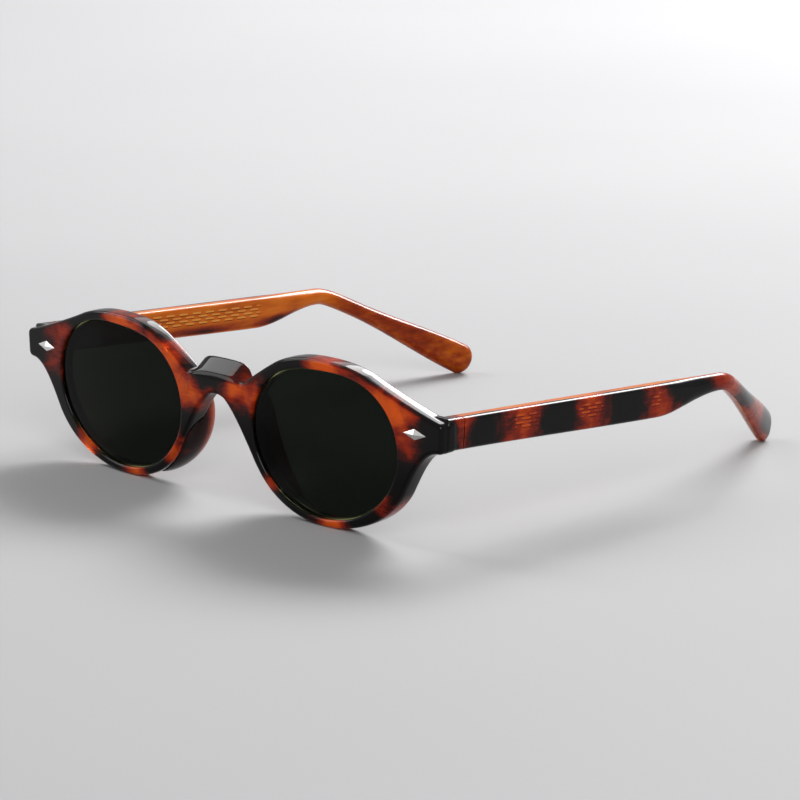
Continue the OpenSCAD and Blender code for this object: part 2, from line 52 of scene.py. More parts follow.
SIDES = {"left": 1, "right": -1}

# Sizes in millimetres and degrees, named as in the CAD source
LENS_W, LENS_H, LENS_GAP = 44.0, 34.3, 24.0
LENS_LEAN, LENS_EGG = 0.015, 0.023
LENS_T, LENS_CROWN, LENS_FIT = 1.8, 0.8, 0.02
END_W, FRONT_T = 13.0, 4.6
RIM_W, BROW_EXTRA, SIDE_EXTRA, NASAL_EXTRA = 1.8, 0.7, 2.2, 0.4
EDGE_R, LIP_R = 0.8, 0.45
GROOVE_D, GROOVE_Y, FACE_FORM = 0.8, 1.6, 2.8
ARCH_Z, NOTCH_Z, NOTCH_X = 6.0, 9.8, 9.2
SADDLE_LIP, SADDLE_SOFT, SADDLE_SINK, SADDLE_FALL = 0.9, 0.5, 0.15, 0.35
BLOCK_SETBACK = 0.05
END_H, END_Z, END_RISE, END_R, JOINT_Y, JOINT_GAP = 6.4, 6.1, 0.7, 1.4, 10.0, 0.1
PAD_W, PAD_H, PAD_SINK, PAD_FROM, PAD_TO = 5.4, 4.6, 0.8, 163.0, 242.0
TEMPLE_L, TEMPLE_T, OUTER_T, TEMPLE_R = 129.5, 4.2, 1.5, 0.9
BELLY_Y, NECK_Y, NECK_H, NECK_RISE = 65.0, 88.0, 4.1, 1.9
TIP_IN, BEND, TURN_IN = 16.0, 0.11, 0.12
PANTOSCOPIC, STANCE = 5.6, 2.8
CORE_T, CORE_H, CORE_ROD, CORE_L = 1.1, 3.4, 1.3, 116.0
KNUCKLE_R, KNUCKLE_OUT = 1.4, 0.2
BROW_FROM, NOTCH_FROM, ARCH_TO, SIDE_FROM = 52.0, 136.0, 206.0, 342.0

# Sizes that differ a little from the CAD source, or that it doesn't have, in millimetres.
# TIP_CAP is the length of the tip's rounding in shares of its radius, and TIP_FALL the
# slope in degrees at which the tip rests.
RIM_CROWN, SADDLE_RISE, SADDLE_X, SADDLE_R = 0.12, 3.3, 8.8, 3.2
ROOT_H, ROOT_UP, BELLY_H = 7.2, 0.4, 7.7
TIP_H, TIP_ROUND, TIP_CAP, TIP_FALL = 8.0, 2.6, 0.75, 27.5

# The pattern rolled into the core: its pitch along and across, half the size of a dash,
# its height, the number of rows, and how far the core lies above the temple's middle
DASH_PITCH, DASH_ROW, DASH_L, DASH_H = 4.4, 0.85, 1.35, 0.23
EMBOSS, DASH_ROWS, CORE_UP = 0.16, 4, 0.8

# Fillets and gaps between neighbouring forms in millimetres
SADDLE_FILLET, BLOCK_FILLET = 0.8, 0.7
PAD_GAP, PAD_REVEAL, LAYER_GAP = 0.03, 0.35, 0.02

# How sharp the saddle's edges are, and millimetres of rim to a degree round the opening
SADDLE_SHARP, RIM_ARC = 5.0, 0.34

HALF_W = LENS_GAP / 2 + LENS_W + END_W
AXIS_IN = KNUCKLE_R + KNUCKLE_OUT
AXIS_X = HALF_W - TEMPLE_T - AXIS_IN
EYE_X = (LENS_GAP + LENS_W) / 2
GROOVE_HALF = LENS_T / 2 + 0.05
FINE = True


# ---------------------------------------------------------------- frames

def tilt(p, degrees):
    """Points turned about X."""
    a = math.radians(degrees)
    x, y, z = p[..., 0], p[..., 1], p[..., 2]
    return np.stack([x, y * math.cos(a) - z * math.sin(a), y * math.sin(a) + z * math.cos(a)], -1)


HINGE = np.array(next(j for j in frame["joints"] if j["name"] == "left_temple_fold")["pos_m"]) / MM
FRONT_ORIGIN = HINGE - tilt(np.array([AXIS_X, JOINT_Y, END_Z]), STANCE)


def from_front(p, side=1):
    """Points of the front's frame, carried to the row frame in metres."""
    return (tilt(p, STANCE) + FRONT_ORIGIN) * [side * MM, MM, MM]


def from_hinge(p, side=1):
    """Points of a hinge's frame, carried to the row frame in metres."""
    return (tilt(p, STANCE - PANTOSCOPIC) + HINGE) * [side * MM, MM, MM]


def front_to_hinge(x, y, z):
    """Coordinates in the hinge's frame of points given in the front's."""
    a = math.radians(PANTOSCOPIC)
    y, z = y - JOINT_Y, z - END_Z
    return x - AXIS_X, y * math.cos(a) - z * math.sin(a), y * math.sin(a) + z * math.cos(a)


# ---------------------------------------------------------------- outlines

def sin(a):
    return np.sin(np.radians(a))


def cos(a):
    return np.cos(np.radians(a))


def eye(a):
    """A point of the lens opening at angle a."""
    oval = (LENS_W - LENS_H) / (LENS_W + LENS_H)
    egg = 1 + oval * cos(2 * a) + LENS_LEAN * sin(2 * a) + LENS_EGG * sin(3 * a)
    r = (LENS_W + LENS_H) / 4 * egg
    return np.stack([EYE_X + r * cos(a), r * sin(a)], -1)


def eye_along(a):
    """Direction along the opening's edge, anticlockwise."""
    d = eye(a + 1) - eye(a - 1)
    return d / np.linalg.norm(d, axis=-1, keepdims=True)


def eye_out(a):
    """Direction out of the opening, square to its edge."""
    d = eye_along(a)
    return np.stack([d[..., 1], -d[..., 0]], -1)


def rim_at(a):
    """Width of the rim outside the opening at angle a."""
    return (RIM_W + BROW_EXTRA * np.maximum(0, sin(a - 15)) ** 3
            + SIDE_EXTRA * ((1 + cos(a)) / 2) ** 5 * np.minimum(1, 1 - sin(a))
            + NASAL_EXTRA * ((1 - cos(a)) / 2) ** 3)


def rim(a):
    """A point of the rim's outer edge at angle a."""
    a = np.asarray(a, float)
    return eye(a) + eye_out(a) * rim_at(a)[..., None]


def form(x):
    """How far the front bends back at x."""
    return FACE_FORM * (x / HALF_W) ** 2


def bezier(p, n):
    """A cubic curve's points, without the last one."""
    t = np.linspace(0, 1, n, endpoint=False)[:, None]
    p = [np.asarray(q, float) for q in p]
    return ((1 - t) ** 3 * p[0] + 3 * t * (1 - t) ** 2 * p[1]
            + 3 * t * t * (1 - t) * p[2] + t ** 3 * p[3])


def smooth(t):
    u = np.clip(t, 0, 1)
    return u * u * (3 - 2 * u)


def mix(a, b, t):
    return a + (b - a) * t


def outer_outline():
    """The front's outline, anticlockwise, both halves. The curves' shares are the CAD source's."""
    top, low = END_Z + END_H / 2 + END_RISE, END_Z - END_H / 2
    foot = np.array([NOTCH_X, NOTCH_Z])

    def corner(z, a0, a1):
        a = np.linspace(a0, a1, 8, endpoint=False)
        return np.array([HALF_W - END_R, z]) + END_R * np.stack([cos(a), sin(a)], -1)

    arch_end, side_end = rim(ARCH_TO), rim(SIDE_FROM)
    half = np.vstack([
        bezier([[0, ARCH_Z], [NOTCH_X / 2, ARCH_Z],
                arch_end - eye_along(ARCH_TO) * NOTCH_X * 0.6, arch_end], 60),
        rim(np.linspace(ARCH_TO, SIDE_FROM, 150, endpoint=False)),
        bezier([side_end, side_end + eye_along(SIDE_FROM) * END_W * 0.48,
                [HALF_W - END_W * 0.45, low], [HALF_W - END_R, low]], 60),
        corner(low + END_R, -90, 0),
        corner(top - END_R, 0, 90),
        bezier([[HALF_W - END_R, top], [HALF_W - END_W * 0.46, top + END_H * 0.17],
                rim(BROW_FROM) + [END_W * 0.4, -END_W * 0.17], rim(BROW_FROM)], 60),
        rim(np.linspace(BROW_FROM, NOTCH_FROM, 100, endpoint=False)),
        bezier([rim(NOTCH_FROM), rim(NOTCH_FROM) + eye_along(NOTCH_FROM) * NOTCH_X * 0.47,
                foot * 1.06, foot], 40),
        [foot],
    ])
    return np.vstack([half, (half * [-1, 1])[::-1][:-1]])


def distance_map(outline, xs, zs):
    """Signed distance to a closed outline at every place of a grid, negative inside."""
    x, z = (g.astype(np.float32) for g in np.meshgrid(xs, zs, indexing="ij"))
    best = np.full(x.shape, 1e9, np.float32)
    inside = np.zeros(x.shape, bool)
    for (x0, z0), (x1, z1) in zip(outline, np.roll(outline, -1, 0)):
        dx, dz = x1 - x0, z1 - z0
        t = np.clip(((x - x0) * dx + (z - z0) * dz) / (dx * dx + dz * dz), 0, 1)
        best = np.minimum(best, (x - x0 - t * dx) ** 2 + (z - z0 - t * dz) ** 2)
        if abs(dz) > 1e-9:
            inside ^= ((z0 > z) != (z1 > z)) & (x < x0 + dx / dz * (z - z0))
    return np.where(inside, -1, 1) * np.sqrt(best)


MAP_STEP = 0.15 if FINE else 0.3
MAP_X = np.arange(-1.5, HALF_W + 2, MAP_STEP)
MAP_Z = np.arange(-22, 22, MAP_STEP)


def softened(table, rounds):
    """A map with the outline's small facets smoothed away, so that reflections run evenly."""
    for _ in range(rounds):
        for axis in (0, 1):
            before, after = np.roll(table, 1, axis), np.roll(table, -1, axis)
            table = (before + 2 * table + after) / 4
    return table


OUTER_MAP = softened(distance_map(outer_outline(), MAP_X, MAP_Z), 3)
EYE_MAP = softened(distance_map(eye(np.linspace(0, 360, 300, endpoint=False)), MAP_X, MAP_Z), 2)


def look_up(table, x, z):
    """A map's value at any place, mirrored to the other half."""
    u = np.clip((np.abs(x) - MAP_X[0]) / MAP_STEP, 0, len(MAP_X) - 2.001)
    v = np.clip((z - MAP_Z[0]) / MAP_STEP, 0, len(MAP_Z) - 2.001)
    i, j = u.astype(int), v.astype(int)
    s, t = u - i, v - j
    return ((1 - s) * ((1 - t) * table[i, j] + t * table[i, j + 1])
            + s * ((1 - t) * table[i + 1, j] + t * table[i + 1, j + 1]))


# ---------------------------------------------------------------- fields

def rounded(d, e, r):
    """Where both distances are negative, with the edge between them rounded."""
    d, e = d + r, e + r
    return np.minimum(np.maximum(d, e), 0) + np.hypot(np.maximum(d, 0), np.maximum(e, 0)) - r


def joined(a, b, k):
    """The union of two fields, filleted over k."""
    h = np.clip(0.5 + 0.5 * (b - a) / k, 0, 1)
    return b + (a - b) * h - k * h * (1 - h)


def sheet_field(x, y, z):
    """The sheet the front is milled from: both rims and the bridge bar, grooved for the lenses."""
    opening = look_up(EYE_MAP, x, z)
    depth = y - form(x)
    slab = np.abs(depth - FRONT_T / 2) - FRONT_T / 2
    side = look_up(OUTER_MAP, x, z) + RIM_CROWN * (2 * depth / FRONT_T - 1) ** 2
    body = np.maximum(rounded(side, slab, EDGE_R), rounded(-opening, slab, LIP_R))
    valley = opening - GROOVE_D * (1 - np.abs(depth - GROOVE_Y) / GROOVE_HALF)
    return np.maximum(body, -(valley / math.hypot(1, GROOVE_D / GROOVE_HALF)))


def saddle_outline(rise):
    """Points round one side of a slice across the saddle: its shoulder, its flank and its foot."""
    turn = np.radians(np.linspace(0, 90, 7))
    rounding = SADDLE_R * np.stack([np.cos(turn), np.sin(turn)], -1)
    shoulder = rounding + [SADDLE_X - SADDLE_R, NOTCH_Z + rise - SADDLE_R]
    flank = rounding + [NOTCH_X - SADDLE_R, NOTCH_Z + SADDLE_FALL * rise - SADDLE_R]
    return np.concatenate([shoulder, flank, [[NOTCH_X - 2 * SADDLE_R, ARCH_Z + SADDLE_R]]])


def saddle_planes():
    """Outward planes of the saddle's core, as rows of a normal and an offset.

    The core is the hull of a front and a back slice, drawn in by SADDLE_SOFT all round.
    """
    front, back = SADDLE_SINK + SADDLE_SOFT, FRONT_T - SADDLE_SINK - SADDLE_SOFT
    points = []
    for y, rise in ((front, SADDLE_LIP), (back, SADDLE_RISE)):
        outline = saddle_outline(rise) - SADDLE_SOFT
        points += [(side * x, y, z) for x, z in outline for side in (-1, 1)]
    hull = bmesh.new()
    for p in points:
        hull.verts.new(p)
    bmesh.ops.convex_hull(hull, input=hull.verts)
    hull.normal_update()
    planes = {tuple(np.round([*f.normal, f.normal.dot(f.verts[0].co)], 3))
              for f in hull.faces if f.calc_area() > 1e-4}
    hull.free()
    return np.array(sorted(planes))


SADDLE = saddle_planes()


def saddle_field(x, y, z):
    """The saddle: SADDLE_SOFT outside its planes, with the edges between them softened."""
    total = 0
    for nx, ny, nz, offset in SADDLE:
        away = nx * x + ny * y + nz * z - offset - SADDLE_SOFT
        total = total + np.exp(np.clip(SADDLE_SHARP * away, -40, 40))
    return np.log(np.maximum(total, 1e-30)) / SADDLE_SHARP


def block_field(x, y, z):
    """An end piece's block, running back to the joint."""
    u, v, w = front_to_hinge(np.abs(x), y, z)
    half = (TEMPLE_T - BLOCK_SETBACK) / 2
    section = np.abs(u - (AXIS_IN + half)) - half, np.abs(w - ROOT_UP) - ROOT_H / 2
    length = JOINT_Y - form(HALF_W) - FRONT_T / 2
    return np.maximum(rounded(*section, TEMPLE_R), np.maximum(v + JOINT_GAP / 2, -length - v))


def front_field(x, y, z):
    sheet = joined(sheet_field(x, y, z), saddle_field(x, y, z), SADDLE_FILLET)
    return joined(sheet, block_field(x, y, z), BLOCK_FILLET)


def pad_field(x, y, z):
    """A nose pad: an oval ridge along the nose side of the rim, cut to lie on it.

    It swells and thins along the rim by the same law as in the CAD source.
    """
    a = np.degrees(np.arctan2(z, x - EYE_X)) % 360
    t = np.clip((a - PAD_FROM) / (PAD_TO - PAD_FROM), 0, 1)
    swell = np.sin(np.radians(180 * mix(0.03, 0.97, t ** 0.7))) ** 0.6
    past = np.maximum(0, np.maximum(PAD_FROM - a, a - PAD_TO)) * RIM_ARC
    u = (look_up(EYE_MAP, x, z) - rim_at(a) * 0.62) / (PAD_W / 2 * swell)
    v = (y - form(x) - (FRONT_T - PAD_SINK + swell)) / (PAD_H * swell)
    ridge = (np.sqrt(u * u + v * v + (past / (1.2 * swell)) ** 2) - 1) * PAD_W / 2 * swell
    clear = -(front_field(x, y, z) - PAD_GAP)
    sight = PAD_REVEAL - look_up(EYE_MAP, x, z)
    return np.maximum(ridge, np.maximum(clear, sight))


def sampled(field, low, high, step):
    """A field's values on a grid."""
    axes = [np.arange(a, b, step) for a, b in zip(low, high)]
    grid = np.ix_(*axes)
    return np.broadcast_to(field(*grid), [len(a) for a in axes]).astype(np.float32)


def skin(values, low, step):
    """Points and quads over the zero level of a sampled field, one point to a crossed cell."""
    inside = values < 0
    corners = [(i, j, k) for i in (0, 1) for j in (0, 1) for k in (0, 1)]
    size = np.array(values.shape) - 1

    def part(array, offset):
        return array[tuple(slice(o, o + n) for o, n in zip(offset, size))]

    filled = sum(part(inside, c).astype(np.int8) for c in corners)
    crossed = (filled > 0) & (filled < 8)
    index = np.full(size, -1, np.int64)
    cells = np.argwhere(crossed)
    index[crossed] = np.arange(len(cells))
    total, count = np.zeros((len(cells), 3)), np.zeros(len(cells))
    for axis in range(3):
        for c in corners:
            if c[axis]:
                continue
            start = cells + c
            end = start.copy()
            end[:, axis] += 1
            a, b = values[tuple(start.T)], values[tuple(end.T)]
            hit = (a < 0) != (b < 0)
            share = np.where(hit, a / np.where(hit, a - b, 1), 0)
            point = start.astype(float)
            point[:, axis] += share
            total += point * hit[:, None]
            count += hit
    points = np.array(low) + total / count[:, None] * step
    quads = []
    for axis in range(3):
        u, v = (axis + 1) % 3, (axis + 2) % 3
        here = [slice(1, n) for n in size]
        here[axis] = slice(0, size[axis])
        there = list(here)
        there[axis] = slice(1, size[axis] + 1)
        a, b = inside[tuple(here)], inside[tuple(there)]
        place = np.argwhere(a != b)
        rising = a[tuple(place.T)]
        place += [0 if i == axis else 1 for i in range(3)]
        back_u, back_v = np.eye(3, dtype=int)[u], np.eye(3, dtype=int)[v]
        loop = [index[tuple((place - s).T)] for s in (0 * back_u, back_u, back_u + back_v, back_v)]
        quad = np.stack(loop, -1)
        quads.append(np.where(rising[:, None], quad, quad[:, ::-1]))
    return points, np.vstack(quads)


def settle(points, field, step):
    """Moves points onto the zero level of the field, along its slope."""
    d = 0.04
    for _ in range(3):
        value = field(*points.T)
        slope = np.stack([(field(*(points + e).T) - field(*(points - e).T)) / (2 * d)
                          for e in np.eye(3) * d], -1)
        move = value / np.maximum((slope ** 2).sum(1), 0.05)
        points = points - np.clip(move, -step, step)[:, None] * slope
    return points


def relax(points, quads, share):
    """Points drawn towards the middle of their neighbours."""
    total, count = np.zeros_like(points), np.zeros(len(points))
    for a, b in ((0, 1), (1, 2), (2, 3), (3, 0)):
        for p, q in ((a, b), (b, a)):
            np.add.at(total, quads[:, p], points[quads[:, q]])
            np.add.at(count, quads[:, p], 1)
    return mix(points, total / np.maximum(count, 1)[:, None], share)


def field_mesh(field, low, high, step, mirror=False):
    """A field's evened-out skin. With mirror, one half is sampled and x starts at 0."""
    values = sampled(field, low, high, step)
    if mirror:
        values = np.concatenate([values[:0:-1], values])
        low = [-(low[0] + len(values) // 2 * step), *low[1:]]
    points, quads = skin(values, low, step)
    for _ in range(2):
        points = settle(relax(points, quads, 0.5), field, step)
    return points, quads


# ---------------------------------------------------------------- meshes

def make_mesh(name, points, faces, sharp=180.0, values=None):
    """A smooth-shaded closed mesh object, facing outwards, with any named value per point."""
    mesh = bpy.data.meshes.new(name)
    mesh.from_pydata([tuple(p) for p in np.asarray(points, float)], [],
                     [tuple(int(i) for i in f) for f in faces])
    shell = bmesh.new()
    shell.from_mesh(mesh)
    if shell.calc_volume(signed=True) < 0:
        bmesh.ops.reverse_faces(shell, faces=shell.faces)
        shell.to_mesh(mesh)
    shell.free()
    mesh.polygons.foreach_set("use_smooth", [True] * len(mesh.polygons))
    if sharp < 180:
        mesh.set_sharp_from_angle(angle=math.radians(sharp))
    for key, data in (values or {}).items():
        layer = mesh.attributes.new(key, "FLOAT", "POINT")
        layer.data.foreach_set("value", np.asarray(data, np.float32))
    mesh.update()
    obj = bpy.data.objects.new(name, mesh)
    bpy.context.scene.collection.objects.link(obj)
    return obj


def tube(rings, flip=False):
    """Points and faces of a skin through rings of equal length, closed at both ends."""
    n, count = len(rings[0]), len(rings)
    faces = []
    for s in range(count - 1):
        for i in range(n):
            j = (i + 1) % n
            faces.append((s * n + i, s * n + j, (s + 1) * n + j, (s + 1) * n + i))
    faces += [tuple(range(n))[::-1], tuple((count - 1) * n + i for i in range(n))]
    return np.vstack(rings), [face[::-1] for face in faces] if flip else faces


def assign(obj, body, node, material):
    """Gives a piece its body and its material, and hides the CAD node it stands for."""
    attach(obj, body)
    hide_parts(node)
    obj.data.materials.append(material)


# ---------------------------------------------------------------- the tortoiseshell's layout

# Dark places round each rim: the angle on the opening, and half the width of the patch
RIM_DARKS = {
    "left": [(350, 17), (306, 13), (243, 17), (192, 17), (126, 17)],
    "right": [(338, 15), (285, 12), (231, 11), (188, 9), (55, 12)],
}
# Glowing places round each rim, given alike
RIM_GLOWS = {
    "left": [(332, 7), (274, 12), (214, 5), (163, 4), (91, 16), (30, 10)],
    "right": [(93, 13), (147, 10), (171, 3), (207, 7), (253, 9), (313, 14)],
}
# Dark and glowing places on the end pieces and the bridge: x, z, and the half sizes
FRONT_DARKS = [(67.5, 6.0, 4.6, 6.0), (-67.4, 6.5, 4.6, 6.0), (-2.6, 11.2, 5.6, 3.4)]
FRONT_GLOWS = [(6.0, 9.0, 2.6, 3.0), (59.5, 1.0, 2.6, 3.0)]
# Dark bands of each temple: from and to, from the joint, and how far they lean forward going up
TEMPLE_DARKS = {
    "left": [(2.2, 11.5, 0), (25, 35, 1), (48.5, 59, 0), (71, 83.5, -2), (99, 107, 2),
             (120, 131, 0)],
    "right": [(-2, 8, 0), (20, 31, 1), (43, 53.5, 0), (66, 75, -2), (92, 101, 2),
              (116, 127, 0)],
}
# Widths of the patches' soft edges in millimetres, round the rims, on the sheet and on temples
RIM_SOFT, SHEET_SOFT, BAND_SOFT = 6.0, 4.0, 6.0
# How dark the front and the temples are between the patches, the front's brow and its blocks,
# and how much a glowing place is lightened
FRONT_BASE, TEMPLE_BASE, BROW_DARK, BLOCK_DARK, GLOW_LIFT = 0.46, 0.24, 0.45, 0.45, 0.14


def patch(distance, soft):
    """1 inside a dark patch, falling to 0 over a soft edge, where distance is 0 on its border."""
    return 1 - smooth(distance / soft * 0.5 + 0.5)


def over(*layers):
    """Values from 0 to 1 laid over each other."""
    clear = 1
    for layer in layers:
        clear = clear * (1 - layer)
    return 1 - clear


def front_dark(p):
    """How dark the front is at each point: 0 glows orange, 0.5 is red-brown and 1 is black."""
    x, z = p[:, 0], p[:, 2]
    side = np.where(x > 0, 1, -1)
    angle = np.degrees(np.arctan2(z, np.abs(x) - EYE_X)) % 360
    near = np.exp(-np.maximum(0, look_up(EYE_MAP, x, z) - 5) / 4)

    def on_rim(name, middle, half):
        off = np.abs((angle - middle + 180) % 360 - 180) - half
        return patch(off * RIM_ARC, RIM_SOFT) * near * (side == SIDES[name])

    def round_rims(places):
        return over(*(on_rim(name, *spot) for name in SIDES for spot in places[name]))

    def on_sheet(places):
        return over(*(patch((np.hypot((x - cx) / rx, (z - cz) / rz) - 1) * min(rx, rz), SHEET_SOFT)
                      for cx, cz, rx, rz in places))

    glow = over(round_rims(RIM_GLOWS), on_sheet(FRONT_GLOWS))
    brow = smooth((look_up(OUTER_MAP, x, z) + 0.9) / 0.8) * smooth((z - 1) / 5)
    dark = over(FRONT_BASE * (1 - glow), round_rims(RIM_DARKS), on_sheet(FRONT_DARKS),
                BROW_DARK * brow) - GLOW_LIFT * glow
    block = smooth((p[:, 1] - form(x) - FRONT_T + 1.5) / 3) * (np.abs(x) > AXIS_X)
    return mix(dark, BLOCK_DARK, block)


def pad_dark(p):
    """The pads are dark where they lie on the rim."""
    return 1 - smooth((p[:, 1] - form(p[:, 0]) - FRONT_T + 0.4) / 3.2)


def temple_dark(along, up, name):
    """The bands' places. Behind the bend they keep to the temple's rear edge."""
    bands = []
    for a, b, lean in TEMPLE_DARKS[name]:
        mid, half = (a + b) / 2 + lean * up / 3, (b - a) / 2
        bands.append(patch(np.abs(along - mid) - half, BAND_SOFT))
    rear = mix(1, smooth((up + 3.0) / 1.6), smooth((along - 90) / 6))
    return over(TEMPLE_BASE, over(*bands) * rear)


def honey_dark(along, up):
    """The honey layer deepens towards its lower edge, most of all at three dark spots."""
    low = smooth((-0.9 - up) / 1.4) * smooth((up + 3.7) / 0.8) * smooth((82 - along) / 10)
    spots = sum(np.exp(-((along - at) / 6) ** 2) for at in (14, 46, 72))
    return over(low * np.minimum(1, 0.35 + 0.65 * spots), 0.38 * smooth((along - 84) / 18))


# ---------------------------------------------------------------- materials

# Colours by tone, from the darkest place to the lightest, and the tortoiseshell's clearness
TORTOISE_TONES = [
    (0.0, (0.0008, 0.0005, 0.0004)), (0.3, (0.003, 0.0007, 0.0004)),
    (0.48, (0.075, 0.004, 0.0006)), (0.7, (0.42, 0.025, 0.0012)), (1.0, (0.96, 0.13, 0.004)),
]
TORTOISE_CLEAR = [(0.0, (0.0,) * 3), (0.35, (0.05,) * 3), (0.7, (0.3,) * 3), (1.0, (0.35,) * 3)]
HONEY_TONES = [
    (0.0, (0.06, 0.004, 0.0005)), (0.25, (0.34, 0.036, 0.0015)), (0.5, (0.82, 0.18, 0.006)),
    (0.9, (0.98, 0.42, 0.06)),
]
AMBER_TONES = [
    (0.0, (0.01, 0.001, 0.0005)), (0.25, (0.20, 0.012, 0.0008)), (0.7, (0.80, 0.11, 0.003)),
]
LENS_TONES = [(0.3, (0.006, 0.008, 0.006)), (0.7, (0.008, 0.011, 0.007))]
LENS_EDGE = (0.34, 0.36, 0.16)

# Low, so that the pale floor's reflection doesn't veil the dark colours
ACETATE_IOR, LENS_IOR = 1.28, 1.14
ACETATE_ROUGH = 0.035


class Nodes:
    """A small wrapper that makes node trees readable."""

    def __init__(self, name):
        self.material = bpy.data.materials.new(name)
        self.material.use_nodes = True
        self.tree = self.material.node_tree
        self.shader = self.tree.nodes["Principled BSDF"]

    def node(self, kind, inputs=None, **settings):
        made = self.tree.nodes.new("ShaderNode" + kind)
        for key, value in settings.items():
            setattr(made, key, value)
        for key, value in (inputs or {}).items():
            if isinstance(value, bpy.types.NodeSocket):
                self.tree.links.new(value, made.inputs[key])
            else:
                made.inputs[key].default_value = value
        return made

    def math(self, operation, a, b=0.0):
        return self.node("Math", {0: a, 1: b}, operation=operation).outputs[0]

    def ramp(self, value, stops):
        made = self.node("ValToRGB", {"Fac": value})
        elements = made.color_ramp.elements
        while len(elements) < len(stops):
            elements.new(0.5)
        for element, (at, color) in zip(elements, stops):
            element.position = at
            element.color = (*color, 1)
        return made.outputs["Color"]

    def noise(self, vector, scale, detail, roughness=0.5, distortion=0.0):
        inputs = {"Vector": vector, "Scale": scale, "Detail": detail, "Roughness": roughness,
                  "Distortion": distortion}
        return self.node("TexNoise", inputs).outputs["Fac"]

    def set(self, **inputs):
        for key, value in inputs.items():
            socket = self.shader.inputs[key.replace("_", " ")]
            if isinstance(value, bpy.types.NodeSocket):
                self.tree.links.new(value, socket)
            else:
                socket.default_value = value

    def bump(self, height, strength, distance):
        made = self.node("Bump", {"Height": height, "Strength": strength, "Distance": distance})
        self.tree.links.new(made.outputs[0], self.shader.inputs["Normal"])

    def place(self):
        return self.node("TexCoord").outputs["Object"]

    def value(self, name):
        """A value that the mesh carries at each point."""
        return self.node("Attribute", attribute_name=name).outputs["Fac"]

    def soft_step(self, value, low, high):
        """0 up to low and 1 from high on, or the other way round."""
        inputs = {"Value": value, "From Min": low, "From Max": high}
        return self.node("MapRange", inputs, interpolation_type="SMOOTHSTEP").outputs[0]

    def stretched(self, place, x, y, z):
        return self.node("Mapping", {"Vector": place, "Scale": (x, y, z)}).outputs[0]


def polish(n, place):
    """The faint swirl and the hair scratches that hand polishing leaves on acetate."""
    swirl = n.noise(place, 90, 2)
    hairs = n.noise(n.stretched(place, 300, 2600, 900), 1, 2)
    n.set(Roughness=n.math("ADD", ACETATE_ROUGH, n.math("MULTIPLY", hairs, 0.04)))
    height = n.math("ADD", n.math("MULTIPLY", swirl, 0.7), n.math("MULTIPLY", hairs, 0.06))
    n.bump(height, 0.1, 0.0002)


def core_dashes_with_painted_light(n):
    """The core's dashes as they show through the acetate, and 0 off the core.

    They stand in staggered rows, each with a painted highlight and a painted shadow line below it.
    """
    along = n.value("along")
    rows = n.math("DIVIDE", n.math("SUBTRACT", n.value("up"), CORE_UP), DASH_ROW)
    shift = n.math("MULTIPLY", n.math("PINGPONG", n.math("FLOOR", rows), 1.0), 0.5)
    pitches = n.math("ADD", n.math("DIVIDE", along, DASH_PITCH), shift)
    u = n.math("SUBTRACT", n.math("FRACT", pitches), 0.5)
    v = n.math("MULTIPLY", n.math("SUBTRACT", n.math("FRACT", rows), 0.5), DASH_ROW)
    length = n.math("SUBTRACT", n.math("MULTIPLY", n.math("ABSOLUTE", u), DASH_PITCH), DASH_L)
    height = n.math("SUBTRACT", n.math("ABSOLUTE", v), DASH_H)
    # Painted highlight on each dash, and a painted shadow line just below it
    painted_dash_highlight = n.soft_step(n.math("MAXIMUM", length, height), 0.12, -0.10)
    low = n.math("ABSOLUTE", n.math("ADD", v, DASH_H + 0.07))
    painted_dash_shadow = n.soft_step(n.math("MAXIMUM", length, n.math("SUBTRACT", low, 0.06)), 0.12, -0.06)
    inside = n.soft_step(n.math("ABSOLUTE", rows), DASH_ROWS / 2 + 0.1, DASH_ROWS / 2 - 0.05)
    inside = n.math("MULTIPLY", inside, n.soft_step(along, BELLY_Y + 2, BELLY_Y - 1))
    inside = n.math("MULTIPLY", inside, n.soft_step(along, 1.0, 3.0))
    return n.math("MULTIPLY", n.math("SUBTRACT", painted_dash_highlight, n.math("MULTIPLY", painted_dash_shadow, 1.3)), inside)


def tortoise_material(name, marked):
    """Near-black patches that melt through red-brown into a clearer orange."""
    n = Nodes(name)
    place = n.place()
    light = n.math("SUBTRACT", 1.0, n.value("dark"))
    for noise, share in (
        (n.noise(place, 150, 2, 0.4, 1.0), 0.8),
        (n.noise(place, 420, 2, 0.5, 0.5), 0.16),
        (n.noise(n.stretched(place, 260, 260, 1200), 1, 3, 0.6, 1.0), 0.35),
    ):
        light = n.math("ADD", light, n.math("MULTIPLY", n.math("SUBTRACT", noise, 0.5), share))
    if marked:
        # The core's dashes with their painted highlights and shadows, shown where the acetate is
        # clearer
        shown = n.soft_step(light, 0.45, 0.75)
        dashes_and_painted_light = n.math("MULTIPLY", core_dashes_with_painted_light(n), shown)
        light = n.math("ADD", light, n.math("MULTIPLY", dashes_and_painted_light, 0.28))
    light = n.math("MAXIMUM", n.math("MINIMUM", light, 1.0), 0.0)
    n.set(Base_Color=n.ramp(light, TORTOISE_TONES),
          Transmission_Weight=n.ramp(light, TORTOISE_CLEAR), IOR=ACETATE_IOR)
    polish(n, place)
    return n.material


def honey_material(name, tones, clear, marked):
    """Clouded, faintly grained acetate in one warm colour."""
    n = Nodes(name)
    place = n.place()
    clouds = n.noise(place, 60, 3, 0.5, 0.6)
    grain = n.noise(n.stretched(place, 500, 60, 500), 1, 3, 0.6)
    tone = n.math("ADD", n.math("MULTIPLY", clouds, 0.5), n.math("MULTIPLY", grain, 0.5))
    tone = n.math("SUBTRACT", tone, n.math("MULTIPLY", n.value("dark"), 0.55))
    if marked:
        # The core's dashes with their painted highlights and shadows
        tone = n.math("ADD", tone, n.math("MULTIPLY", core_dashes_with_painted_light(n), 0.42))
    n.set(Base_Color=n.ramp(tone, tones), Transmission_Weight=clear, IOR=ACETATE_IOR)
    polish(n, place)
    return n.material


